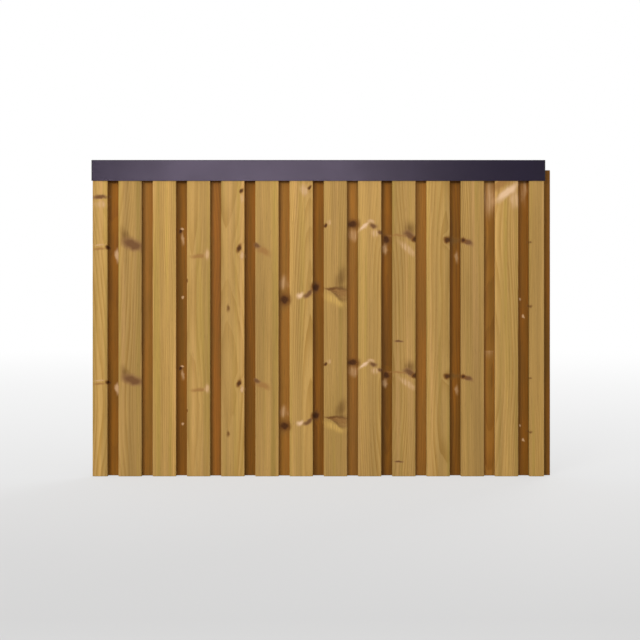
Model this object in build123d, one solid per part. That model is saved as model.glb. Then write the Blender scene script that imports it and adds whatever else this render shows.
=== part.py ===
"""Fence panel of vertical double-block boards under a hollow metal cap.

Millimetres. The front faces -Y, +X runs along the panel and +Z is up. The
origin is at the middle of the panel's box, on the ground.
"""

import os

from build123d import *

os.makedirs("parts", exist_ok=True)

# Panel: its width follows from the blocks and gaps of its boards
panel_height = 630.0
board_count = 7

# Board profile: two raised blocks with a milled channel between them
block_width = 47.0
end_block_width = 30.2
gap_width = 21.2
board_thickness = 28.0
channel_depth = 12.5
rebate_depth = 10.0
arris_radius = 2.0
back_bevel = 1.0

# Tongue and groove between neighbouring boards
tongue_length = 8.5
tongue_thickness = 7.0
tongue_bevel = 1.2
tongue_clearance = 0.3
groove_end_room = 1.0
shoulder_gap = 0.8

# Half lap at the two ends of the panel, tongue on the right, rebate on the left
lap_width = 15.0
lap_depth = 14.0
lap_clearance = 0.5

# Cap: a hollow chamber above a slot that sits over the boards' ends
cap_height = 41.5
cap_seat_height = 18.0
cap_wall = 1.5
cap_clearance = 0.2
cap_corner_radius = 1.2

# Plugs that close the cap's ends
plug_flange = 1.5
plug_depth = 12.0
plug_wall = 1.5
plug_clearance = 0.1

# Rails behind the boards
rail_height = 60.0
rail_thickness = 28.0
rail_arris = 2.0
lower_rail_rise = 110.0
upper_rail_drop = 125.0

# Countersunk screws through the rails into the blocks
rail_screw_head_radius = 4.4
rail_screw_shank_radius = 2.25
rail_screw_thread_radius = 1.9
rail_screw_grip = 17.0
rail_screw_tip = 4.0
rail_screw_end_inset = 4.5
recess_width = 1.2
recess_span = 4.6
recess_depth = 1.6

# Pan-head screws through the cap's rear leg
cap_screw_head_radius = 3.3
cap_screw_head_height = 2.2
cap_screw_head_bevel = 0.8
cap_screw_thread_radius = 1.6
cap_screw_grip = 12.0
cap_screw_tip = 3.0
cap_screw_rise = 10.0

# Flats round a screw and its holes, few because the screws repeat
screw_sides = 12

# Room around a screw in the piece that it passes through, and beyond its tip
shank_clearance = 0.1
thread_clearance = 0.05
pilot_end_room = 1.0

# Worked out from the sizes above
block_count = 2 * board_count
front_width = (
    (block_count - 2) * block_width
    + 2 * end_block_width
    + (block_count - 1) * gap_width
)
board_length = panel_height - cap_seat_height
cap_proud = cap_clearance + cap_wall
depth = cap_proud + board_thickness + rail_thickness
length = plug_flange + front_width + max(lap_width, plug_flange)

left = -length / 2 + plug_flange
right = left + front_width
front = -depth / 2 + cap_proud
back = front + board_thickness
rail_back = back + rail_thickness
cap_front = front - cap_proud
cap_back = back + cap_proud
cap_bottom = panel_height - cap_height
cap_width = cap_back - cap_front
cap_inner_width = cap_width - 2 * cap_wall
chamber_height = cap_seat_height - 2 * cap_wall
chamber_middle = cap_height - cap_seat_height / 2
lap_rebate_width = lap_width + lap_clearance
lower_rail_middle = lower_rail_rise
upper_rail_middle = panel_height - upper_rail_drop


def block_edges():
    """Left and right edge of every block across the front."""
    edges = []
    start = left
    for index in range(block_count):
        at_end = index in (0, block_count - 1)
        end = start + (end_block_width if at_end else block_width)
        edges.append((start, end))
        start = end + gap_width
    return edges


blocks = block_edges()


def screw_column(index):
    """Where the rail screws stand across a block: its middle, or near an end block's inner edge."""
    start, end = blocks[index]
    if index == 0:
        return end - rail_screw_end_inset
    if index == block_count - 1:
        return start + rail_screw_end_inset
    return (start + end) / 2


def ring(radius, height):
    """Section of a screw or its hole: a polygon round Z, or the point of a tip."""
    if radius == 0:
        return Vertex(0, 0, height)
    return Pos(0, 0, height) * RegularPolygon(radius, screw_sides)


def screw_shape(outline):
    """Solid with a few flats round Z, through (radius, height) points from its top down."""
    shape = Part()
    for upper, lower in zip(outline, outline[1:]):
        if upper[1] > lower[1]:
            shape += loft([ring(*upper), ring(*lower)], ruled=True)
    return shape


def bore(radius, depth):
    """Straight hole from its mouth at height 0, cut as far above the mouth as below it."""
    return screw_shape([(radius, depth), (radius, -depth)])


def cross_recess(height):
    """Driver's recess in a head whose top is at a height."""
    arm = Box(recess_span, recess_width, 2 * recess_depth)
    return Pos(0, 0, height) * (arm + Rot(Z=90) * arm)


def from_behind(shape, x, y, z):
    """Places a shape that was made along Z so that its top faces the back of the panel."""
    return Pos(x, y, z) * Rot(X=-90) * shape


# Screws, with the head's outer end at height 0 and the tip below
rail_screw_length = rail_thickness + rail_screw_grip
rail_screw_head_height = rail_screw_head_radius - rail_screw_shank_radius
rail_screw = screw_shape([
    (rail_screw_head_radius, 0),
    (rail_screw_shank_radius, -rail_screw_head_height),
    (rail_screw_shank_radius, -rail_thickness),
    (rail_screw_thread_radius, -rail_thickness),
    (rail_screw_thread_radius, rail_screw_tip - rail_screw_length),
    (0, -rail_screw_length),
])
rail_screw -= cross_recess(0)

cap_screw_length = cap_proud + cap_screw_grip
cap_screw = screw_shape([
    (cap_screw_head_radius - cap_screw_head_bevel, cap_screw_head_height),
    (cap_screw_head_radius, cap_screw_head_height - cap_screw_head_bevel),
    (cap_screw_head_radius, 0),
    (cap_screw_thread_radius, 0),
    (cap_screw_thread_radius, cap_screw_tip - cap_screw_length),
    (0, -cap_screw_length),
])
cap_screw -= cross_recess(cap_screw_head_height)

# Holes that the screws stand in
shank_hole_radius = rail_screw_shank_radius + shank_clearance
rail_hole = screw_shape([
    (rail_screw_head_radius + shank_hole_radius, shank_hole_radius),
    (shank_hole_radius, shank_hole_radius - rail_screw_head_radius),
    (shank_hole_radius, -2 * rail_thickness),
])
rail_pilot = bore(rail_screw_thread_radius + thread_clearance, rail_screw_grip + pilot_end_room)
cap_pilot = bore(cap_screw_thread_radius + thread_clearance, cap_screw_grip + pilot_end_room)
cap_hole = bore(cap_screw_thread_radius + shank_clearance, 2 * cap_proud)

rail_screw_places = [
    (screw_column(index), middle)
    for middle in (lower_rail_middle, upper_rail_middle)
    for index in range(block_count)
]
cap_screw_blocks = (
    1,
    1 + block_count // 3,
    block_count - 2 - block_count // 3,
    block_count - 2,
)
cap_screw_places = [
    (sum(blocks[index]) / 2, cap_bottom + cap_screw_rise)
    for index in cap_screw_blocks
]


def left_side(first):
    """Left side of a board's section, from its back edge round to its front arris."""
    start = blocks[first][0]
    if first == 0:
        rebate_front = front + lap_depth - lap_clearance
        return [
            (start + lap_rebate_width, back),
            (start + lap_rebate_width, rebate_front),
            (start, rebate_front),
            (start, front),
        ]
    neighbour = blocks[first - 1][1]
    shoulder = neighbour + shoulder_gap
    tip = neighbour - tongue_length
    tongue_front = front + rebate_depth
    tongue_back = tongue_front + tongue_thickness
    return [
        (shoulder + back_bevel, back),
        (shoulder, back - back_bevel),
        (shoulder, tongue_back),
        (tip + tongue_bevel, tongue_back),
        (tip, tongue_back - tongue_bevel),
        (tip, tongue_front + tongue_bevel),
        (tip + tongue_bevel, tongue_front),
        (start, tongue_front),
        (start, front),
    ]


def right_side(last):
    """Right side of a board's section, from its front arris round to its back edge."""
    end = blocks[last][1]
    if last == block_count - 1:
        lap_front = front + lap_depth
        tip = end + lap_width
        return [
            (end, front),
            (end, lap_front),
            (tip - tongue_bevel, lap_front),
            (tip, lap_front + tongue_bevel),
            (tip, back),
        ]
    groove_front = front + rebate_depth - tongue_clearance
    groove_back = front + rebate_depth + tongue_thickness + tongue_clearance
    floor = end - tongue_length - groove_end_room
    return [
        (end, front),
        (end, groove_front),
        (floor, groove_front),
        (floor, groove_back),
        (end, groove_back),
        (end, back - back_bevel),
        (end - back_bevel, back),
    ]


def make_board(number):
    """One board with its blocks, channel, joints and pilot holes."""
    first = 2 * number
    last = first + 1
    channel_floor = front + channel_depth
    channel = [
        (blocks[first][1], front),
        (blocks[first][1], channel_floor),
        (blocks[last][0], channel_floor),
        (blocks[last][0], front),
    ]
    outline = left_side(first) + channel + right_side(last)
    section = make_face(Polyline(*outline, close=True))
    arrises = section.vertices().group_by(Axis.Y)[0]
    section = fillet(arrises, arris_radius)
    board = extrude(section, board_length, dir=(0, 0, 1))
    start, end = blocks[first][0], blocks[last][1]
    for x, z in rail_screw_places:
        if start < x < end:
            board -= from_behind(rail_pilot, x, back, z)
    for x, z in cap_screw_places:
        if start < x < end:
            board -= from_behind(cap_pilot, x, back, z)
    return board


def cap_profile():
    """Cap's section with its slot, before its chamber, standing on the ends of its legs."""
    low = (Align.CENTER, Align.MIN)
    outside = Rectangle(cap_width, cap_height, align=low)
    outside = fillet(outside.vertices().group_by(Axis.Y)[-1], cap_corner_radius)
    return outside - Rectangle(cap_inner_width, cap_height - cap_seat_height, align=low)


def across_cap(x):
    """Plane across the cap, at its underside."""
    return Plane((x, (cap_front + cap_back) / 2, cap_bottom), x_dir=(0, 1, 0), z_dir=(1, 0, 0))


def make_cap():
    """Hollow cap with its chamber, slot and screw holes."""
    chamber = Pos(0, chamber_middle) * Rectangle(cap_inner_width, chamber_height)
    cap = extrude(across_cap(left) * (cap_profile() - chamber), front_width, dir=(1, 0, 0))
    for x, z in cap_screw_places:
        cap -= from_behind(cap_hole, x, cap_back, z)
    return cap


def make_plug(x, outward):
    """Plug with a flange over the cap's whole end and a hollow spigot inside the chamber."""
    spigot_width = cap_inner_width - 2 * plug_clearance
    spigot_height = chamber_height - 2 * plug_clearance
    spigot = Rectangle(spigot_width, spigot_height)
    spigot -= Rectangle(spigot_width - 2 * plug_wall, spigot_height - 2 * plug_wall)
    spigot = Pos(0, chamber_middle) * spigot
    flange = extrude(across_cap(x) * cap_profile(), plug_flange, dir=(outward, 0, 0))
    return flange + extrude(across_cap(x) * spigot, plug_depth, dir=(-outward, 0, 0))


def make_rail(middle):
    """Rail across the backs of the boards, with countersunk holes."""
    start = left + lap_rebate_width
    section = Rectangle(rail_thickness, rail_height)
    section = fillet(section.vertices().group_by(Axis.X)[-1], rail_arris)
    across = Plane(
        (start, back + rail_thickness / 2, middle),
        x_dir=(0, 1, 0),
        z_dir=(1, 0, 0),
    )
    rail = extrude(across * section, right - start, dir=(1, 0, 0))
    for x, z in rail_screw_places:
        if z == middle:
            rail -= from_behind(rail_hole, x, rail_back, z)
    return rail


for number in range(board_count):
    export_step(make_board(number), f"parts/board_{number + 1}.step")
export_step(make_cap(), "parts/top_cap.step")
export_step(make_plug(left, -1), "parts/cap_plug_left.step")
export_step(make_plug(right, 1), "parts/cap_plug_right.step")
export_step(make_rail(upper_rail_middle), "parts/upper_rail.step")
export_step(make_rail(lower_rail_middle), "parts/lower_rail.step")
rail_screws = [from_behind(rail_screw, x, rail_back, z) for x, z in rail_screw_places]
export_step(Compound(children=rail_screws), "parts/rail_screws.step")
cap_screws = [from_behind(cap_screw, x, cap_back, z) for x, z in cap_screw_places]
export_step(Compound(children=cap_screws), "parts/cap_screws.step")
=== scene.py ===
"""Looks of the fence panel: planed pine boards, a coated metal cap, sawn rails and plated screws.

Metres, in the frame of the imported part: the front faces -Y and +Z is up.
"""

import math
from collections import namedtuple
from random import Random

import bmesh
import bpy
import numpy as np
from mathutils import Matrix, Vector


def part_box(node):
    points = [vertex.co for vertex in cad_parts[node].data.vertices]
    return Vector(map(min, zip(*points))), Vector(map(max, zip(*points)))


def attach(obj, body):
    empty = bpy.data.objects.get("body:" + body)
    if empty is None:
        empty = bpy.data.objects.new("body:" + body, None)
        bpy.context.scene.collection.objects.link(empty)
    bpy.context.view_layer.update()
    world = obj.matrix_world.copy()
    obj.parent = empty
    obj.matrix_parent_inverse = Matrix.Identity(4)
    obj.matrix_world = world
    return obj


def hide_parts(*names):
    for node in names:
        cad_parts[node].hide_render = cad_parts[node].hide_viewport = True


MM = 0.001
SEED = 1648

# Camera, looking straight at the front: the image's width at the panel's front, the distance
# from there, the height, the place along the panel, and the sensor's width in millimetres
FRAME_WIDTH = 1.2745
CAMERA_DISTANCE = 1.9
CAMERA_HEIGHT = 0.3114
CAMERA_OFFSET = -0.0035
CAMERA_RANGE = 200.0
SENSOR_WIDTH = 36.0

# Floor: half its width, how far it lies below the boards' ends, where its fade to white towards
# the back is measured from and starts, the distances between which it fades on every side,
# and its glow and grey before any fade
FLOOR_SIZE = 40.0
FLOOR_DROP = 0.5 * MM
FADE_ORIGIN = -1.93
FADE_START = 1.0
FADE_NEAR = 2.2
FADE_FAR = 9.0
FLOOR_GLOW = 0.2
FLOOR_MATT = 0.414

# World: level of the fill on surfaces, level of the room before the panel as metal reflects it,
# and how softly that room turns into the white behind
WORLD_FILL = 0.74
ROOM_LEVEL = 0.12
ROOM_BLEND = 0.3

# Lamps, aimed at the panel's middle line at this height: bearing from the front towards the right
# and height above level, in degrees, distance, width, height and share of the light
AIM_HEIGHT = 0.35
LAMPS = {
    "key": (-32, 16, 9.0, 3.2, 2.8, 0.405),
    "sheen": (-7, 14.5, 2.4, 1.2, 0.6, 0.22),
    "back": (150, 30, 9.0, 4.0, 3.2, 0.3),
}

# Lamps that also show as highlights
HIGHLIGHT_LAMPS = ("sheen", "back")

# Depths behind the blocks' front at which the painted shade of a recess starts, is full and ends,
# its greatest strength, and the depth over which the relief then fades out
RECESS_START = 2.5 * MM
RECESS_FULL = 11.0 * MM
RECESS_END = 15.0 * MM
RECESS_MOST = 1.15
RELIEF_FADE = 4.0 * MM

# The painted shade of a recess keeps off a board's left side and off faces whose normal leans this far
# to the back
PLAIN_MARGIN = 1.0 * MM
BACK_FACING = 0.5

# How straight down a board's end faces, how near its floor it lies, and the places kept of a corner
DOWNWARD = -0.99
TOUCHING = 1e-6
CORNER_PLACES = 7

# Spacing of the boards' meshes, their broken end edges and the angle of a sharp edge in degrees
FRONT_STEP = 1.4 * MM
BACK_STEP = 4.0 * MM
ROW_STEP = 4.5 * MM
END_BEVEL = 0.7 * MM
BOARD_SHARP = 40

# Relief of the boards: depth, longest wave and slant of the raised grain and of the planing,
# and how far and over what length the grain bends sideways
GRAIN_DEPTH = 0.05 * MM
GRAIN_LENGTH = 0.011
GRAIN_SLANT = 0.25
PLANE_DEPTH = 0.05 * MM
PLANE_LENGTH = 0.22
PLANE_SLANT = 0.2
BEND_REACH = 0.006
BEND_LENGTH = 0.5

# Each further sine of a wave is shorter and weaker than the one before
WAVE_SHORTER = 1.7
WAVE_WEAKER = 0.75

# Screws: head and shank outlines as (radius, depth below the head's outer face), in millimetres
RAIL_SCREW = [(3.9, 0.1), (4.2, 0.25), (2.2, 2.2), (2.2, 28), (1.85, 28), (1.85, 41), (0.1, 45)]
CAP_SCREW = [(2.3, 0), (2.85, 0.3), (3.25, 1.0), (3.25, 2.2), (1.55, 2.2), (1.55, 12.9), (0.1, 15.9)]
SCREW_SIDES = 40
SCREW_SHARP = 35

# Points this near to each other belong to one head, if they lie this near to the outermost face
HEAD_REACH = 12.0 * MM
HEAD_FLAT = 0.1 * MM

# Drive recess: half the span of its cross on each kind of screw, in millimetres,
# the arms' half width and the depth as shares of that, and the floor's share of the mouth
RAIL_DRIVE = 2.3
CAP_DRIVE = 1.8
DRIVE_WIDTH = 0.26
DRIVE_SINK = 0.65
DRIVE_TAPER = 0.7

# A tree's branches come in whorls, so the marks above this height come again, closer, below it
WHORL_SPLIT = 250 * MM
WHORL_SHRINK = 0.843
WHORL_DROP = 197.6 * MM


def srgb(red, green, blue):
    """Linear colour from 0 to 255 screen values."""
    linear = []
    for value in (red, green, blue):
        share = value / 255
        linear.append(share / 12.92 if share <= 0.04045 else ((share + 0.055) / 1.055) ** 2.4)
    return (*linear, 1.0)


# Marks of each board: kind, distance from the panel's left edge, height, half length,
# half width, all in millimetres, and slope in degrees; a spike's wide end lies along its slope
Mark = namedtuple("Mark", "kind across height half_length half_width slope")
MARKS = {
    "board_1": [
        Mark("smear", 15, 557, 17, 4, 2),
        Mark("pale", 16, 542, 14, 9, 0),
        Mark("tan", 13, 453, 15, 4, 3),
        Mark("pale", 14, 462, 12, 2.5, 0),
        Mark("knot", 30, 456, 3.5, 4, 0),
        Mark("fleck", 47, 441, 4.5, 15, 0),
        Mark("shade", 65, 478, 12, 26, 15),
        Mark("smear", 80, 462, 23, 12, -20),
        Mark("knot", 67, 5, 6, 5, 0),
    ],
    "board_2": [
        Mark("knot", 174, 489, 3.5, 4.5, 0),
        Mark("fleck", 176, 493, 4, 2.5, -10),
        Mark("pale", 178, 474, 4, 13, 0),
        Mark("fleck", 178, 357, 3, 4, 0),
        Mark("knot", 189, 390, 2.2, 2.8, 0),
        Mark("tan", 212, 439, 20, 5, 4),
        Mark("pale", 228, 441, 6, 12, 0),
    ],
    "board_3": [
        Mark("rust", 246, 400, 8, 260, 0),
        Mark("knot", 296, 568, 3.4, 4.4, -30),
        Mark("pale", 298, 553, 5, 10, 0),
        Mark("knot", 292, 454, 4.2, 8, -28),
        Mark("fleck", 298, 440, 4.5, 9, 0),
        Mark("tan", 341, 448, 19, 9, -20),
        Mark("smear", 328, 460, 8, 5.5, -20),
        Mark("streak", 270, 335, 3, 8, 0),
    ],
    "board_4": [
        Mark("pale", 380, 386, 11, 17, 0),
        Mark("shade", 383, 351, 16, 24, 0),
        Mark("knot", 383, 352, 10, 10, 0),
        Mark("pale", 421, 570, 10, 14, 20),
        Mark("knot", 433, 576, 5, 2.5, 55),
        Mark("band", 414, 360, 9, 7, 20),
        Mark("smear", 431, 364, 13, 5, 42),
        Mark("knot", 445, 377, 7.5, 9, 0),
        Mark("pale", 471, 505, 7, 5, 30),
        Mark("knot", 464, 500, 3, 3.5, 0),
        Mark("shade", 494, 394, 15, 32, -15),
        Mark("gold", 483, 350, 28, 10, -28),
        Mark("spike", 489, 368, 20, 17, -20),
        Mark("streak", 476, 374, 15, 3, 0),
    ],
    "board_5": [
        Mark("knot", 518, 503, 11, 9.5, 0),
        Mark("pale", 519, 481, 11, 13, 0),
        Mark("band", 541, 497, 15, 4, 40),
        Mark("pale", 555, 508, 9, 5, 0),
        Mark("smear", 560, 499, 8, 6, -10),
        Mark("pale", 563, 484, 10, 8, -30),
        Mark("smear", 573, 486, 6, 5, -45),
        Mark("knot", 586, 472, 8, 10, 0),
        Mark("pale", 583, 454, 6, 11, 0),
        Mark("shade", 632, 492, 18, 24, 20),
        Mark("pale", 626, 455, 24, 8, -42),
        Mark("smear", 632, 480, 15, 8, -25),
        Mark("knot", 642, 472, 5, 5, 0),
        Mark("tan", 608, 480, 18, 3, 0),
        Mark("smear", 610, 269, 10, 2.6, -8),
    ],
    "board_6": [
        Mark("shade", 722, 471, 14, 9, 0),
        Mark("knot", 707, 471, 7, 5, 12),
        Mark("smear", 746, 467, 13, 6.5, -28),
        Mark("knot", 739, 470, 5, 5, -30),
        Mark("pale", 727, 437, 4, 13, 0),
    ],
    "board_7": [
        Mark("pale", 791, 556, 13, 40, 0),
        Mark("pale", 842, 552, 12, 22, 0),
        Mark("tan", 812, 582, 26, 12, 30),
        # Painted highlight: this bright diagonal band
        Mark("band", 825, 565, 32, 9, 40),
        Mark("pale", 862, 570, 6, 30, 0),
        Mark("streak", 872, 466, 4, 2.2, 0),
        Mark("streak", 871, 340, 5, 2.4, 0),
        Mark("fleck", 860, 319, 3, 4, 0),
        Mark("fleck", 854, 353, 2.5, 3, 0),
    ],
}

# Looks of the marks: outer colour, inner colour, strength, the distances from the middle at which
# the edge starts and is full, as shares of the outline, how far the mark pushes the grain aside
# and how deep it sinks, both in millimetres; rust shows only in the recesses
MarkLook = namedtuple("MarkLook", "outer inner strength edge_start edge_full push sink")
MARK_LOOKS = {
    "knot": MarkLook(srgb(124, 78, 28), srgb(68, 33, 4), 0.95, 1.7, 0.75, 2.2, 0.3),
    "spike": MarkLook(srgb(142, 100, 52), srgb(98, 60, 26), 0.95, 1.5, 0.5, 2.0, 0.2),
    "streak": MarkLook(srgb(126, 84, 38), srgb(106, 66, 26), 0.85, 1.6, 0.3, 0.0, 0.1),
    "shade": MarkLook(srgb(136, 100, 46), srgb(116, 82, 36), 0.85, 1.2, 0.0, 0.0, 0.0),
    "pale": MarkLook(srgb(194, 150, 98), srgb(206, 166, 120), 0.85, 1.35, 0.3, 0.0, 0.0),
    "gold": MarkLook(srgb(194, 154, 78), srgb(202, 162, 86), 0.85, 1.3, 0.2, 0.0, 0.0),
    "smear": MarkLook(srgb(140, 100, 62), srgb(112, 74, 42), 0.95, 1.45, 0.45, 0.0, 0.1),
    "tan": MarkLook(srgb(166, 122, 64), srgb(156, 110, 58), 0.8, 1.3, 0.3, 0.0, 0.0),
    "rust": MarkLook(srgb(160, 92, 28), srgb(164, 94, 28), 0.45, 1.4, 0.3, 0.0, 0.0),
    "band": MarkLook(srgb(208, 168, 122), srgb(226, 188, 148), 0.95, 1.4, 0.35, 0.0, 0.0),
    "fleck": MarkLook(srgb(180, 138, 92), srgb(206, 166, 122), 0.9, 1.3, 0.5, 0.0, 0.2),
}

# A spike's thin end as a share of its wide one, and how far an outline is shaken
SPIKE_POINT = 0.2
MARK_SHAKE = 0.011

# Knots: turn of their rings' wave per outline, the rings' strength, and their speckle
KNOT_RINGS = 21.0
KNOT_RING_SHADE = 0.12
SPECKLE_SCALE = 900.0
SPECKLE_SHADE = 1.2

# Reach of a pushing mark as a multiple of its size, the largest size counted, in millimetres,
# and how much longer the reach is along the grain
PUSH_REACH = 2.0
PUSH_LIMIT = 12
PUSH_STRETCH = 1.9

# Tone of each board, how much lighter its left side is painted, as light from the left, where across it
# its pith lies and how deep behind the front, in millimetres
BOARD_TONES = {
    "board_1": (1.00, 0.19, 0.4, 95.0),
    "board_2": (1.04, 0.08, 0.75, 70.0),
    "board_3": (0.98, -0.02, 0.3, 80.0),
    "board_4": (1.04, 0.13, 0.5, 60.0),
    "board_5": (0.95, 0.10, 0.6, 75.0),
    "board_6": (0.98, 0.17, 0.45, 64.0),
    "board_7": (1.03, 0.08, 0.15, 85.0),
}

# Woods
EARLY_WOOD = srgb(184, 145, 81)
LATE_WOOD = srgb(164, 124, 59)
OLIVE_WOOD = srgb(166, 136, 63)
ROSY_WOOD = srgb(193, 149, 91)
# Painted shade of the channels and rebates, darker and redder than the open wood, and its deeper patches
CHANNEL_SHADE = (0.60, 0.37, 0.09, 1.0)
CHANNEL_DEEP_SHADE = (0.47, 0.32, 0.10, 1.0)
END_STAIN = (0.68, 0.6, 0.5, 1.0)
CUTTER_STEP = 2.3 * MM

# Rings: their spacing, how often and by how many spacings the years change, how often the pith
# wanders along a board, how far it does so sideways and in depth, and how far a ring ripples
RING_SPACING = 2.1 * MM
YEAR_CHANGE = 110.0
YEAR_SHIFT = 2.4
PITH_CHANGE = 1.8
PITH_SIDEWAYS = 0.014
PITH_DEEPER = 0.03
RING_RIPPLE = 0.005

# Noises along the grain: how often they change in a metre across it and along it
FIBRE_NOISE = (1100, 16)
CANAL_NOISE = (1500, 55)
STREAK_NOISE = (85, 1.5)
BROAD_NOISE = (38, 0.9)
PATCH_NOISE = (22, 3.0)
RIPPLE_NOISE = (30, 2.0)
SHADE_PATCH_NOISE = (60, 7.0)
SHAKE_NOISE = (75, 55)
MARK_NOISE = (380, 14)
RAIL_STREAK_NOISE = (70, 2.0)
RAIL_FIBRE_NOISE = (900, 30)
SAW_NOISE = (6, 420)

# Rails: their woods, where each is cut from, the pith's place before the rail and below its middle,
# and how far a ring ripples
RAIL_EARLY = srgb(178, 140, 84)
RAIL_LATE = srgb(146, 106, 56)
RAIL_OLIVE = srgb(150, 126, 66)
RAIL_CUTS = {"upper_rail": 3.0, "lower_rail": 8.0}
RAIL_PITH_BEFORE = 35 * MM
RAIL_PITH_BELOW = 9 * MM
RAIL_RIPPLE = 0.014

# Coatings: colour, darker patches, roughness and tint of the gloss
POWDER_COAT = (srgb(33, 28, 45), srgb(26, 22, 36), 0.29, (0.93, 0.76, 1.0, 1.0))
PLUG_PLASTIC = (srgb(36, 33, 40), srgb(30, 28, 34), 0.55, (1.0, 1.0, 1.0, 1.0))

# Steels: colour, darker patches and roughness
YELLOW_ZINC = ((0.62, 0.5, 0.27, 1.0), (0.5, 0.42, 0.3, 1.0), 0.34)
STAINLESS = ((0.6, 0.6, 0.6, 1.0), (0.5, 0.5, 0.5, 1.0), 0.3)


class Graph:
    """A node tree, with short calls that add a node and feed its sockets."""

    def __init__(self, tree, place="Object"):
        self.tree = tree
        self.place = self.add("ShaderNodeTexCoord").outputs[place]

    def add(self, kind, **settings):
        node = self.tree.nodes.new(kind)
        for name, value in settings.items():
            setattr(node, name, value)
        return node

    def feed(self, socket, value):
        if isinstance(value, bpy.types.NodeSocket):
            self.tree.links.new(value, socket)
        else:
            socket.default_value = value

    def math(self, operation, first, second=0.0):
        node = self.add("ShaderNodeMath", operation=operation)
        self.feed(node.inputs[0], first)
        self.feed(node.inputs[1], second)
        return node.outputs[0]

    def vector(self, operation, first, second):
        node = self.add("ShaderNodeVectorMath", operation=operation)
        self.feed(node.inputs[0], first)
        self.feed(node.inputs[1], second)
        return node.outputs["Vector"]

    def length(self, vector):
        node = self.add("ShaderNodeVectorMath", operation="LENGTH")
        self.feed(node.inputs[0], vector)
        return node.outputs["Value"]

    def split(self, vector):
        node = self.add("ShaderNodeSeparateXYZ")
        self.feed(node.inputs[0], vector)
        return node.outputs

    def join(self, x, y, z):
        node = self.add("ShaderNodeCombineXYZ")
        for socket, value in zip(node.inputs, (x, y, z)):
            self.feed(socket, value)
        return node.outputs[0]

    def noise(self, vector, scale=1.0, detail=2.0):
        """A noise's outputs: its value and its colour."""
        node = self.add("ShaderNodeTexNoise")
        self.feed(node.inputs["Vector"], vector)
        self.feed(node.inputs["Scale"], scale)
        self.feed(node.inputs["Detail"], detail)
        return node.outputs

    def remap(self, value, low, high, to_low=0.0, to_high=1.0):
        """A smooth step from one range to another."""
        node = self.add("ShaderNodeMapRange", interpolation_type="SMOOTHSTEP")
        for socket, number in zip(node.inputs, (value, low, high, to_low, to_high)):
            self.feed(socket, number)
        return node.outputs[0]

    def mix(self, factor, first, second, blend="MIX"):
        """Two colours mixed; the node's colour sockets are found by number, as their names repeat."""
        node = self.add("ShaderNodeMix", data_type="RGBA", blend_type=blend)
        self.feed(node.inputs[0], factor)
        self.feed(node.inputs[6], first)
        self.feed(node.inputs[7], second)
        return node.outputs[2]

    def grey(self, value):
        return self.join(value, value, value)

    def attribute(self, name):
        return self.add("ShaderNodeAttribute", attribute_name=name).outputs["Fac"]

    def bump(self, height, distance, strength):
        node = self.add("ShaderNodeBump")
        self.feed(node.inputs["Height"], height)
        self.feed(node.inputs["Distance"], distance)
        self.feed(node.inputs["Strength"], strength)
        return node.outputs[0]


class Surface(Graph):
    """A material with one principled shader."""

    def __init__(self, name):
        self.material = bpy.data.materials.new(name)
        self.material.use_nodes = True
        super().__init__(self.material.node_tree)
        self.shader = self.tree.nodes["Principled BSDF"]

    def finish(self, **values):
        """Feeds the shader's inputs, named with underscores for spaces."""
        for name, value in values.items():
            self.feed(self.shader.inputs[name.replace("_", " ")], value)
        return self.material


def board_number(node):
    return int(node[-1])


def stretched(graph, place, changes):
    """Coordinates for a noise that runs along the grain, which is Z."""
    across, along = changes
    return graph.vector("MULTIPLY", place, (across, across, along))


def centred(graph, value, spread):
    """A noise value turned into a shift of up to half the spread either way."""
    return graph.math("MULTIPLY", graph.math("SUBTRACT", value, 0.5), spread)


def folded(graph, place):
    """The place with heights below the split moved up to the whorl they repeat."""
    x, y, z = graph.split(place)
    upper = graph.math("DIVIDE", graph.math("ADD", z, WHORL_DROP), WHORL_SHRINK)
    lift = graph.math("SUBTRACT", upper, z)
    lift = graph.math("MULTIPLY", lift, graph.math("LESS_THAN", z, WHORL_SPLIT))
    return graph.join(x, y, graph.math("ADD", z, lift))


def mark_place(graph, place, mark, left):
    """Place along and across a mark, where 1 is its outline."""
    node = graph.add("ShaderNodeMapping", vector_type="TEXTURE")
    graph.feed(node.inputs["Vector"], place)
    node.inputs["Location"].default_value = (left + mark.across * MM, 0, mark.height * MM)
    node.inputs["Rotation"].default_value = (0, -math.radians(mark.slope), 0)
    node.inputs["Scale"].default_value = (mark.half_length * MM, 1, mark.half_width * MM)
    u, _, v = graph.split(node.outputs[0])
    if mark.kind == "spike":
        v = graph.math("DIVIDE", v, graph.remap(u, -1.0, 1.0, SPIKE_POINT, 1.0))
    return graph.join(u, 0.0, v)


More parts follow.
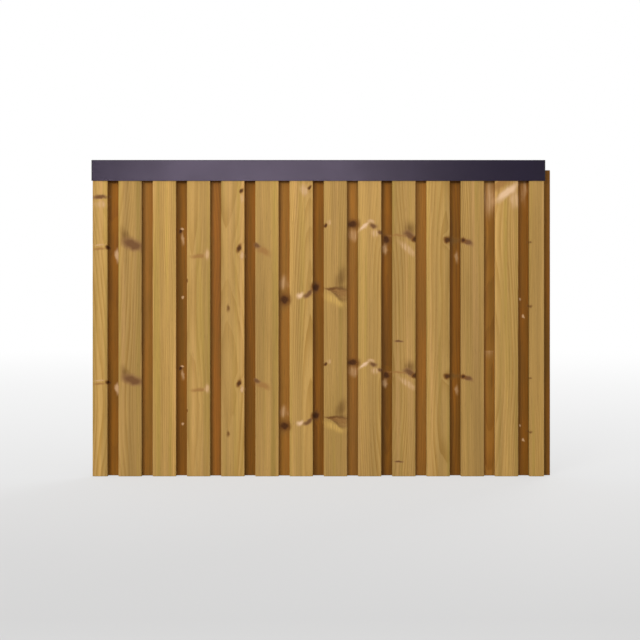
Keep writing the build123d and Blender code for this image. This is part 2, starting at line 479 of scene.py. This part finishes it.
def paint_marks(graph, place, marks, left, colour, recess):
    """Paints the marks over the wood: ringed knots, streaked spikes and stains that follow the grain."""
    shake = graph.noise(stretched(graph, place, SHAKE_NOISE), detail=4.0)[1]
    shake = graph.vector("SUBTRACT", shake, (0.5, 0.5, 0.5))
    shake = graph.vector("MULTIPLY", shake, (MARK_SHAKE, 0, MARK_SHAKE))
    shaken = graph.vector("ADD", place, shake)
    grain = graph.noise(stretched(graph, place, MARK_NOISE), detail=3.0)[0]
    grain = graph.remap(grain, 0.3, 0.65, 0.3, 1.15)
    pale_grain = graph.math("MULTIPLY", grain, graph.remap(recess, 0.0, 1.0, 1.0, 0.7))
    soft_grain = graph.remap(grain, 0.3, 1.1, 0.6, 1.0)
    veils = {"pale": pale_grain, "gold": pale_grain, "shade": soft_grain, "rust": recess}
    speckle = graph.noise(place, scale=SPECKLE_SCALE, detail=3.0)[0]
    speckle = centred(graph, speckle, SPECKLE_SHADE)
    for mark in marks:
        look = MARK_LOOKS[mark.kind]
        own = mark_place(graph, shaken, mark, left)
        distance = graph.length(own)
        edge = graph.remap(distance, look.edge_start, look.edge_full, 0.0, look.strength)
        core = graph.remap(distance, 1.1, 0.35)
        if mark.kind == "knot":
            rings = graph.math("SINE", graph.math("MULTIPLY", distance, KNOT_RINGS))
            core = graph.math("ADD", core, graph.math("MULTIPLY", rings, KNOT_RING_SHADE))
            core = graph.math("ADD", core, speckle)
        elif mark.kind == "spike":
            streaks = graph.noise(graph.vector("MULTIPLY", own, (1, 1, 5)), detail=3.0)[0]
            spine = graph.math("ABSOLUTE", graph.split(own)[2])
            core = graph.remap(spine, 0.2, 0.9)
            core = graph.math("ADD", core, centred(graph, streaks, 2.0))
            edge = graph.math("MULTIPLY", edge, graph.remap(streaks, 0.3, 0.6, 0.6, 1.05))
        elif mark.kind in veils:
            edge = graph.math("MULTIPLY", edge, veils[mark.kind])
        colour = graph.mix(edge, colour, graph.mix(core, look.outer, look.inner))
    return colour


def grain_push(graph, place, marks, left):
    """How far the knots and spikes push the rings aside."""
    total = 0.0
    for mark in marks:
        push = MARK_LOOKS[mark.kind].push
        if push == 0:
            continue
        reach = PUSH_REACH * min(max(mark.half_length, mark.half_width), PUSH_LIMIT)
        zone = Mark("zone", mark.across, mark.height, reach, PUSH_STRETCH * reach, 0)
        distance = graph.length(mark_place(graph, place, zone, left))
        total = graph.math("ADD", total, graph.remap(distance, 1.0, 0.0, 0.0, push * MM))
    return total


def ring_wood(graph, radius):
    """Share of late wood, from the distance to the pith, with uneven years."""
    age = graph.math("MULTIPLY", radius, YEAR_CHANGE)
    year = graph.noise(graph.join(age, 0.0, 0.0), detail=1.0)[0]
    radius = graph.math("ADD", radius, centred(graph, year, YEAR_SHIFT * RING_SPACING))
    ring = graph.math("FRACT", graph.math("DIVIDE", radius, RING_SPACING))
    return graph.math("MULTIPLY", graph.remap(ring, 0.2, 0.92), graph.remap(ring, 1.0, 0.94))


def pith_distance(graph, node, axes, own):
    """Distance to a board's pith, which wanders along the board."""
    x, y, z = axes
    low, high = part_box(node)
    _, _, pith_share, pith_depth = BOARD_TONES[node]
    height = graph.math("MULTIPLY", z, PITH_CHANGE)
    drift = graph.noise(graph.join(7.1 * board_number(node), 0.3, height), detail=1.0)[1]
    drift_x, drift_y, _ = graph.split(drift)
    side = graph.math("SUBTRACT", x, low.x + pith_share * (high.x - low.x))
    side = graph.math("ADD", side, centred(graph, drift_x, PITH_SIDEWAYS))
    deep = graph.math("SUBTRACT", y, low.y + pith_depth * MM)
    deep = graph.math("ADD", deep, centred(graph, drift_y, PITH_DEEPER))
    radius = graph.length(graph.join(side, deep, 0.0))
    ripple = graph.noise(stretched(graph, own, RIPPLE_NOISE), detail=2.0)[0]
    return graph.math("ADD", radius, centred(graph, ripple, RING_RIPPLE))


def board_shade(graph, node, axes, own, fibre, band):
    """Lightness of a board: fibres, resin canals, narrow and broad bands, its own tone, and painted
    light that makes its left side and its top lighter.
    """
    x, _, z = axes
    low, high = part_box(node)
    tone, lean, _, _ = BOARD_TONES[node]
    canal = graph.noise(stretched(graph, graph.place, CANAL_NOISE), detail=1.0)[0]
    broad = graph.noise(stretched(graph, own, BROAD_NOISE), detail=1.0)[0]
    shade = graph.remap(fibre, 0.2, 0.8, 0.91, 1.09)
    shade = graph.math("MULTIPLY", shade, graph.remap(canal, 0.64, 0.74, 1.0, 0.8))
    shade = graph.math("MULTIPLY", shade, graph.remap(band, 0.3, 0.7, 0.88, 1.11))
    shade = graph.math("MULTIPLY", shade, graph.remap(broad, 0.25, 0.75, 0.91, 1.09))
    # Painted light: the board's left side lighter, as if lit from the left
    slant = graph.math("SUBTRACT", x, (low.x + high.x) / 2)
    slant = graph.math("MULTIPLY", slant, -2 * lean / (high.x - low.x))
    shade = graph.math("MULTIPLY", shade, graph.math("ADD", slant, tone))
    # Painted light: lighter towards the top
    return graph.math("MULTIPLY", shade, graph.remap(z, 0.3, high.z, 0.965, 1.06))


def shade_recesses(graph, own, colour, recess):
    """Painted shade in the channels and rebates, darker and redder, uneven along them."""
    shade_patches = graph.noise(stretched(graph, own, SHADE_PATCH_NOISE), detail=3.0)[0]
    shade_colour = graph.mix(graph.remap(shade_patches, 0.3, 0.7), CHANNEL_SHADE, CHANNEL_DEEP_SHADE)
    return graph.mix(recess, colour, graph.mix(1.0, colour, shade_colour, "MULTIPLY"))


def stain_ends(graph, colour, axis):
    """Darker end grain on the faces across an axis."""
    facing = graph.split(graph.add("ShaderNodeTexCoord").outputs["Normal"])[axis]
    end_grain = graph.remap(graph.math("ABSOLUTE", facing), 0.6, 0.9)
    return graph.mix(end_grain, colour, graph.mix(1.0, colour, END_STAIN, "MULTIPLY"))


def pine_material(node, left):
    """Planed treated pine: rings, streaks, knots, painted shade in the channels and darker end grain."""
    graph = Surface("pine_" + node)
    number = board_number(node)
    marks = MARKS[node]
    place = graph.place
    whorl = folded(graph, place)
    own = graph.vector("ADD", place, (3.7 * number, 1.9 * number, 0))
    axes = graph.split(place)

    radius = pith_distance(graph, node, axes, own)
    radius = graph.math("ADD", radius, grain_push(graph, whorl, marks, left))
    late = ring_wood(graph, radius)
    patch = graph.noise(stretched(graph, own, PATCH_NOISE), detail=2.0)[0]
    late = graph.math("MULTIPLY", late, graph.remap(patch, 0.3, 0.7, 0.3, 1.0))
    colour = graph.mix(late, EARLY_WOOD, LATE_WOOD)

    streak = graph.noise(stretched(graph, own, STREAK_NOISE), detail=3.0)[1]
    olive, rosy, band = graph.split(streak)
    colour = graph.mix(graph.remap(olive, 0.48, 0.72, 0.0, 0.7), colour, OLIVE_WOOD)
    colour = graph.mix(graph.remap(rosy, 0.5, 0.75, 0.0, 0.7), colour, ROSY_WOOD)
    fibre = graph.noise(stretched(graph, place, FIBRE_NOISE), detail=2.0)[0]
    shade = board_shade(graph, node, axes, own, fibre, band)
    colour = graph.mix(1.0, colour, graph.grey(shade), "MULTIPLY")

    # Painted shade in the channels and rebates, by how deep each point lies
    recess = graph.attribute("recess")
    colour = shade_recesses(graph, own, colour, recess)
    colour = paint_marks(graph, whorl, marks, left, colour, recess)
    colour = stain_ends(graph, colour, "Z")

    height = graph.math("ADD", graph.math("MULTIPLY", fibre, 0.5), graph.math("MULTIPLY", late, 0.6))
    cutter = graph.math("SINE", graph.math("MULTIPLY", axes["Z"], math.tau / CUTTER_STEP))
    cutter = graph.math("MULTIPLY", cutter, graph.remap(recess, 0.0, 1.0, 0.04, 0.2))
    height = graph.math("ADD", height, cutter)
    return graph.finish(
        Base_Color=colour,
        Roughness=graph.remap(late, 0.0, 1.0, 0.62, 0.52),
        Specular_IOR_Level=0.18,
        Normal=graph.bump(height, 0.18 * MM, 0.6),
    )


def sawn_material(node):
    """Sawn treated pine for a rail, with the grain along X and the saw's marks across it."""
    graph = Surface("sawn_" + node)
    low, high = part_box(node)
    x, y, z = graph.split(graph.place)
    cut = RAIL_CUTS[node]
    turned = graph.vector("ADD", graph.join(z, y, x), (cut, 0, cut))
    ripple = graph.noise(stretched(graph, turned, RIPPLE_NOISE), detail=3.0)[0]
    deep = graph.math("SUBTRACT", y, low.y - RAIL_PITH_BEFORE)
    lift = graph.math("SUBTRACT", z, (low.z + high.z) / 2 - RAIL_PITH_BELOW)
    radius = graph.length(graph.join(lift, deep, 0.0))
    radius = graph.math("ADD", radius, centred(graph, ripple, RAIL_RIPPLE))
    late = ring_wood(graph, radius)
    colour = graph.mix(late, RAIL_EARLY, RAIL_LATE)
    streak = graph.noise(stretched(graph, turned, RAIL_STREAK_NOISE), detail=3.0)[0]
    colour = graph.mix(graph.remap(streak, 0.5, 0.75, 0.0, 0.6), colour, RAIL_OLIVE)
    fibre = graph.noise(stretched(graph, turned, RAIL_FIBRE_NOISE), detail=3.0)[0]
    saw = graph.noise(stretched(graph, turned, SAW_NOISE), detail=2.0)[0]
    shade = graph.remap(saw, 0.3, 0.7, 0.92, 1.05)
    shade = graph.math("MULTIPLY", shade, graph.remap(fibre, 0.2, 0.8, 0.88, 1.1))
    colour = graph.mix(1.0, colour, graph.grey(shade), "MULTIPLY")
    colour = stain_ends(graph, colour, "X")
    height = graph.math("ADD", graph.math("MULTIPLY", fibre, 0.6), graph.math("MULTIPLY", saw, 0.7))
    return graph.finish(
        Base_Color=colour,
        Roughness=graph.remap(fibre, 0.2, 0.8, 0.7, 0.85),
        Specular_IOR_Level=0.2,
        Normal=graph.bump(height, 0.5 * MM, 0.7),
    )


def coating_material(name, colour, dark, roughness, tint):
    """Powder coat or moulded plastic with a fine orange-peel surface and a slightly uneven tone."""
    graph = Surface(name)
    cloud = graph.noise(graph.place, scale=9.0, detail=3.0)[0]
    peel = graph.noise(graph.place, scale=700.0, detail=2.0)[0]
    coat = graph.mix(graph.remap(cloud, 0.3, 0.7), colour, dark)
    coat = graph.mix(graph.remap(peel, 0.35, 0.65, 0.0, 0.35), coat, dark)
    return graph.finish(
        Base_Color=coat,
        Roughness=graph.remap(cloud, 0.2, 0.8, roughness - 0.03, roughness + 0.04),
        Specular_Tint=tint,
        Normal=graph.bump(peel, 0.1 * MM, 0.6),
    )


def steel_material(name, colour, dark, roughness):
    """Plated or plain steel with cloudy toning and fine scratches."""
    graph = Surface(name)
    cloud = graph.noise(graph.place, scale=260.0, detail=3.0)[0]
    scratch = graph.noise(graph.vector("MULTIPLY", graph.place, (900, 900, 4000)), detail=2.0)[0]
    return graph.finish(
        Base_Color=graph.mix(graph.remap(cloud, 0.3, 0.7), colour, dark),
        Roughness=graph.remap(scratch, 0.2, 0.8, roughness - 0.08, roughness + 0.1),
        Metallic=1.0,
        Normal=graph.bump(scratch, 0.03 * MM, 0.4),
    )


def shade_smooth(mesh, angle):
    """Smooth shading, apart from edges sharper than an angle in degrees."""
    mesh.polygons.foreach_set("use_smooth", [True] * len(mesh.polygons))
    mesh.set_sharp_from_angle(angle=math.radians(angle))


def end_outline(node):
    """Outline of a board's lower end, in order, from the frame's own mesh."""
    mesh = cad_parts[node].data
    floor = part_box(node)[0].z
    edges = set()
    for polygon in mesh.polygons:
        if polygon.normal.z > DOWNWARD or abs(polygon.center.z - floor) > TOUCHING:
            continue
        corners = []
        for index in polygon.vertices:
            x, y, _ = mesh.vertices[index].co
            corners.append((round(x, CORNER_PLACES), round(y, CORNER_PLACES)))
        edges.update(zip(corners, corners[1:] + corners[:1]))
    border = {start: end for start, end in edges if (end, start) not in edges}
    first = min(border)
    outline = [first]
    while border[outline[-1]] != first:
        outline.append(border[outline[-1]])
    return np.array(outline)


def fine_outline(outline, front):
    """Adds points along the outline's longer stretches, closest on the front."""
    points = []
    for start, end in zip(outline, np.roll(outline, -1, axis=0)):
        depth = max(start[1], end[1]) - front
        step = FRONT_STEP if depth < RECESS_END else BACK_STEP
        count = max(1, math.ceil(np.linalg.norm(end - start) / step))
        for index in range(count):
            points.append(start + (end - start) * index / count)
    return np.array(points)


def outward(points):
    """Unit normals of a closed outline, away from its inside."""
    after = np.roll(points, -1, axis=0)
    along = after - np.roll(points, 1, axis=0)
    normals = np.stack([along[:, 1], -along[:, 0]], axis=1)
    normals /= np.linalg.norm(normals, axis=1)[:, None]
    area = np.sum(points[:, 0] * after[:, 1] - after[:, 0] * points[:, 1])
    return normals if area > 0 else -normals


def waves(values, random, longest, count):
    """Smooth uneven curve from a few sines, between -1 and 1."""
    total = np.zeros_like(values)
    weight = 1.0
    reach = 0.0
    for index in range(count):
        phase = random.uniform(0, math.tau)
        period = longest * random.uniform(0.8, 1.2) / WAVE_SHORTER**index
        total += weight * np.sin(math.tau * values / period + phase)
        reach += weight
        weight *= WAVE_WEAKER
    return total / reach


def board_sink(node, left, x, y, z):
    """How far a board's surface lies below its plain one: raised grain, planing waves and sunk marks."""
    random = Random(SEED + board_number(node))
    bend = BEND_REACH * waves(z[:, :1], random, BEND_LENGTH, 3)
    grain = waves(x + bend + GRAIN_SLANT * y, random, GRAIN_LENGTH, 4)
    plane = waves(z + PLANE_SLANT * x, random, PLANE_LENGTH, 3)
    sink = GRAIN_DEPTH * (1 - grain) + PLANE_DEPTH * (1 - plane)
    whorl = np.where(z < WHORL_SPLIT, (z + WHORL_DROP) / WHORL_SHRINK, z)
    for mark in MARKS[node]:
        turn = math.radians(mark.slope)
        dx = (x - left) / MM - mark.across
        dz = whorl / MM - mark.height
        u = (dx * math.cos(turn) + dz * math.sin(turn)) / mark.half_length
        v = (dz * math.cos(turn) - dx * math.sin(turn)) / mark.half_width
        near = np.exp(-(u * u + v * v))
        sink += MARK_LOOKS[mark.kind].sink * MM * near
    return sink


def closed_skin(name, x, y, z):
    """Closed mesh from rows of points, each row a closed outline, with the first and last filled in."""
    row_count, count = x.shape
    faces = []
    for row in range(row_count - 1):
        base = row * count
        for index in range(count):
            after = (index + 1) % count
            faces.append((base + index, base + after, base + count + after, base + count + index))
    last = (row_count - 1) * count
    faces.append(tuple(range(count)))
    faces.append(tuple(range(last, last + count)))
    mesh = bpy.data.meshes.new(name)
    mesh.from_pydata(np.stack([x, y, z], axis=2).reshape(-1, 3).tolist(), [], faces)
    shape = bmesh.new()
    shape.from_mesh(mesh)
    ends = [face for face in shape.faces if len(face.verts) > 4]
    bmesh.ops.triangulate(shape, faces=ends)
    bmesh.ops.recalc_face_normals(shape, faces=shape.faces)
    shape.to_mesh(mesh)
    shape.free()
    return mesh


def board_mesh(node, left):
    """A board's surface with its relief, and how far each point lies in a recess of the front, which
    sets the painted shade there.
    """
    low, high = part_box(node)
    points = fine_outline(end_outline(node), low.y)
    normals = outward(points)
    depth = points[:, 1] - low.y
    row_count = math.ceil((high.z - low.z) / ROW_STEP)
    rows = np.linspace(low.z + END_BEVEL, high.z - END_BEVEL, row_count)
    rows = np.concatenate([[low.z], rows, [high.z]])
    x = np.repeat(points[None, :, 0], len(rows), axis=0)
    y = np.repeat(points[None, :, 1], len(rows), axis=0)
    z = np.repeat(rows[:, None], len(points), axis=1)

    sink = board_sink(node, left, x, y, z)
    sink *= np.clip((RECESS_END + RELIEF_FADE - depth) / RELIEF_FADE, 0, 1)
    sink[0] += END_BEVEL
    sink[-1] += END_BEVEL
    mesh = closed_skin(node + "_timber", x - normals[:, 0] * sink, y - normals[:, 1] * sink, z)

    # Strength of the painted shade in the recesses of the front
    forward = (points[:, 0] > low.x + PLAIN_MARGIN) & (normals[:, 1] < BACK_FACING)
    recess = np.clip((depth - RECESS_START) / (RECESS_FULL - RECESS_START), 0, RECESS_MOST)
    recess = recess * (depth < RECESS_END) * forward
    layer = mesh.attributes.new("recess", "FLOAT", "POINT")
    layer.data.foreach_set("value", np.tile(recess, len(rows)).astype(np.float32))
    shade_smooth(mesh, BOARD_SHARP)
    return mesh


def screw_heads(node):
    """Middle of each head's outer face, from the solids of a group of screws."""
    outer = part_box(node)[1].y
    heads = []
    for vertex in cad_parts[node].data.vertices:
        if vertex.co.y < outer - HEAD_FLAT:
            continue
        near = [head for head in heads if (head[0] - vertex.co).length < HEAD_REACH]
        if near:
            near[0].append(vertex.co.copy())
        else:
            heads.append([vertex.co.copy()])
    middles = []
    for head in heads:
        low, high = np.min(head, axis=0), np.max(head, axis=0)
        middles.append(Vector((low + high) / 2))
    return middles


def cross_outline(span):
    """Corners of a cross-shaped recess, in order."""
    width = DRIVE_WIDTH * span
    corners = []
    for turn in range(4):
        angle = turn * math.pi / 2
        for along, across in ((width, -width), (span, -width), (span, width)):
            x = along * math.cos(angle) - across * math.sin(angle)
            z = along * math.sin(angle) + across * math.cos(angle)
            corners.append((x, z))
    return corners


def add_screw(shape, middle, outline, drive, turn):
    """Adds one screw to a mesh: its turned outline and the recess in its head."""

    def ring(corners, depth):
        placed = []
        for x, z in corners:
            x, z = x * math.cos(turn) - z * math.sin(turn), x * math.sin(turn) + z * math.cos(turn)
            placed.append(shape.verts.new(middle + MM * Vector((x, -depth, z))))
        return placed

    def bridge(first, second):
        for index in range(len(first)):
            shape.faces.new((first[index - 1], first[index], second[index], second[index - 1]))

    def border(corners):
        pairs = zip(corners, corners[1:] + corners[:1])
        return [shape.edges.get(pair) or shape.edges.new(pair) for pair in pairs]

    steps = [math.tau * index / SCREW_SIDES for index in range(SCREW_SIDES)]
    circle = [(math.cos(step), math.sin(step)) for step in steps]
    rings = [ring([(radius * x, radius * z) for x, z in circle], depth) for radius, depth in outline]
    for first, second in zip(rings, rings[1:]):
        bridge(first, second)
    shape.faces.new(rings[-1])
    top = outline[0][1]
    mouth = ring(cross_outline(drive), top)
    floor = ring(cross_outline(DRIVE_TAPER * drive), top + DRIVE_SINK * drive)
    bridge(mouth, floor)
    shape.faces.new(floor)
    bmesh.ops.triangle_fill(shape, use_beauty=True, edges=border(rings[0]) + border(mouth))


def screw_mesh(node, outline, drive):
    """All the screws of a group, each turned by chance."""
    random = Random(SEED)
    shape = bmesh.new()
    for middle in screw_heads(node):
        add_screw(shape, middle, outline, drive, random.uniform(0, math.tau))
    bmesh.ops.recalc_face_normals(shape, faces=shape.faces)
    mesh = bpy.data.meshes.new(node + "_turned")
    shape.to_mesh(mesh)
    shape.free()
    shade_smooth(mesh, SCREW_SHARP)
    return mesh


def seen_rays(graph):
    """The rays that show the background, straight or through glass, and those that reflect it."""
    rays = graph.add("ShaderNodeLightPath").outputs
    seen = graph.math("MAXIMUM", rays["Is Camera Ray"], rays["Is Transmission Ray"])
    return seen, rays["Is Glossy Ray"]


def floor_material():
    """Pale floor that keeps shadows and fades to white away from the panel."""
    graph = Surface("floor")
    x, y, _ = graph.split(graph.place)
    seen, glossy = seen_rays(graph)
    reach = graph.math("MAXIMUM", graph.math("SUBTRACT", y, FADE_ORIGIN), FADE_START)
    near = graph.math("DIVIDE", FADE_START, reach)
    away = graph.length(graph.join(x, y, 0.0))
    near = graph.math("MULTIPLY", near, graph.remap(away, FADE_NEAR, FADE_FAR, 1.0, 0.0))
    glow = graph.math("SUBTRACT", 1.0, graph.math("MULTIPLY", near, 1.0 - FLOOR_GLOW))
    return graph.finish(
        Base_Color=graph.grey(graph.math("MULTIPLY", near, FLOOR_MATT)),
        Roughness=0.9,
        Specular_IOR_Level=0.0,
        Emission_Color=graph.grey(glow),
        Emission_Strength=graph.math("MAXIMUM", seen, glossy),
    )


def make_floor():
    """One large square just below the boards' ends."""
    mesh = bpy.data.meshes.new("floor")
    size = FLOOR_SIZE
    corners = [(-size, -size, 0), (size, -size, 0), (size, size, 0), (-size, size, 0)]
    mesh.from_pydata(corners, [], [(0, 1, 2, 3)])
    floor = bpy.data.objects.new("floor", mesh)
    floor.location.z = -FLOOR_DROP
    mesh.materials.append(floor_material())
    bpy.context.scene.collection.objects.link(floor)


def make_world():
    """White to look at, an even fill for the surfaces, and a dim room before the panel to reflect."""
    world = bpy.data.worlds.new("studio")
    bpy.context.scene.world = world
    world.use_nodes = True
    graph = Graph(world.node_tree, "Generated")
    seen, glossy = seen_rays(graph)
    y = graph.split(graph.place)["Y"]
    mirrored = graph.remap(y, -ROOM_BLEND, ROOM_BLEND, ROOM_LEVEL, 1.0)
    level = graph.remap(glossy, 0.0, 1.0, WORLD_FILL, mirrored)
    level = graph.remap(seen, 0.0, 1.0, level, 1.0)
    background = world.node_tree.nodes["Background"]
    background.inputs["Color"].default_value = (1, 1, 1, 1)
    graph.feed(background.inputs["Strength"], level)


def make_lamps():
    """Soft boxes; a share of 1 alone would render a colour as written on a face towards the lamp."""
    target = Vector((0, 0, AIM_HEIGHT))
    for name, (bearing, lift, distance, width, height, share) in LAMPS.items():
        turn = math.radians(bearing)
        rise = math.radians(lift)
        level = math.cos(rise)
        way = Vector((math.sin(turn) * level, -math.cos(turn) * level, math.sin(rise)))
        light = bpy.data.lights.new(name, "AREA")
        light.shape = "RECTANGLE"
        light.size = width
        light.size_y = height
        light.energy = share * (math.pi * distance) ** 2
        lamp = bpy.data.objects.new(name, light)
        lamp.location = target + distance * way
        lamp.visible_glossy = name in HIGHLIGHT_LAMPS
        lamp.rotation_euler = (-way).to_track_quat("-Z", "Y").to_euler()
        bpy.context.scene.collection.objects.link(lamp)


def make_camera(front):
    """Camera level with the panel, at right angles to its front."""
    data = bpy.data.cameras.new("camera")
    data.sensor_width = SENSOR_WIDTH
    data.lens = SENSOR_WIDTH * CAMERA_DISTANCE / FRAME_WIDTH
    data.clip_end = CAMERA_RANGE
    camera = bpy.data.objects.new("camera", data)
    camera.location = (CAMERA_OFFSET, front - CAMERA_DISTANCE, CAMERA_HEIGHT)
    camera.rotation_euler = (math.pi / 2, 0, 0)
    bpy.context.scene.collection.objects.link(camera)
    bpy.context.scene.camera = camera


def dress_node(node, material):
    """Gives a carried-over solid its material."""
    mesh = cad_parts[node].data
    mesh.materials.clear()
    mesh.materials.append(material)


def replace_node(node, mesh, material):
    """Puts a finer mesh in the place of a solid."""
    piece = bpy.data.objects.new(mesh.name, mesh)
    bpy.context.scene.collection.objects.link(piece)
    mesh.materials.append(material)
    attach(piece, "root")
    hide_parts(node)


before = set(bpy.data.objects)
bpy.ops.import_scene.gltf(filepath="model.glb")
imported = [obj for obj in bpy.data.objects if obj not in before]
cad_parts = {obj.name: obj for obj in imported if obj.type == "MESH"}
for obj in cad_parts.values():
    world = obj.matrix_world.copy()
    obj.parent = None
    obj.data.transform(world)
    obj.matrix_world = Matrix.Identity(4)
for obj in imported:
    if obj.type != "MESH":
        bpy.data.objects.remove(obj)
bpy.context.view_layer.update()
bpy.context.scene.view_settings.view_transform = "Standard"

panel_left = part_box("board_1")[0].x
panel_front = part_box("board_1")[0].y

for name in BOARD_TONES:
    replace_node(name, board_mesh(name, panel_left), pine_material(name, panel_left))

for name in RAIL_CUTS:
    dress_node(name, sawn_material(name))

dress_node("top_cap", coating_material("powder_coat", *POWDER_COAT))
plug = coating_material("plug_plastic", *PLUG_PLASTIC)
for name in ("cap_plug_left", "cap_plug_right"):
    dress_node(name, plug)

zinc = steel_material("yellow_zinc", *YELLOW_ZINC)
replace_node("rail_screws", screw_mesh("rail_screws", RAIL_SCREW, RAIL_DRIVE), zinc)
steel = steel_material("stainless", *STAINLESS)
replace_node("cap_screws", screw_mesh("cap_screws", CAP_SCREW, CAP_DRIVE), steel)

make_floor()
make_world()
make_lamps()
make_camera(panel_front)
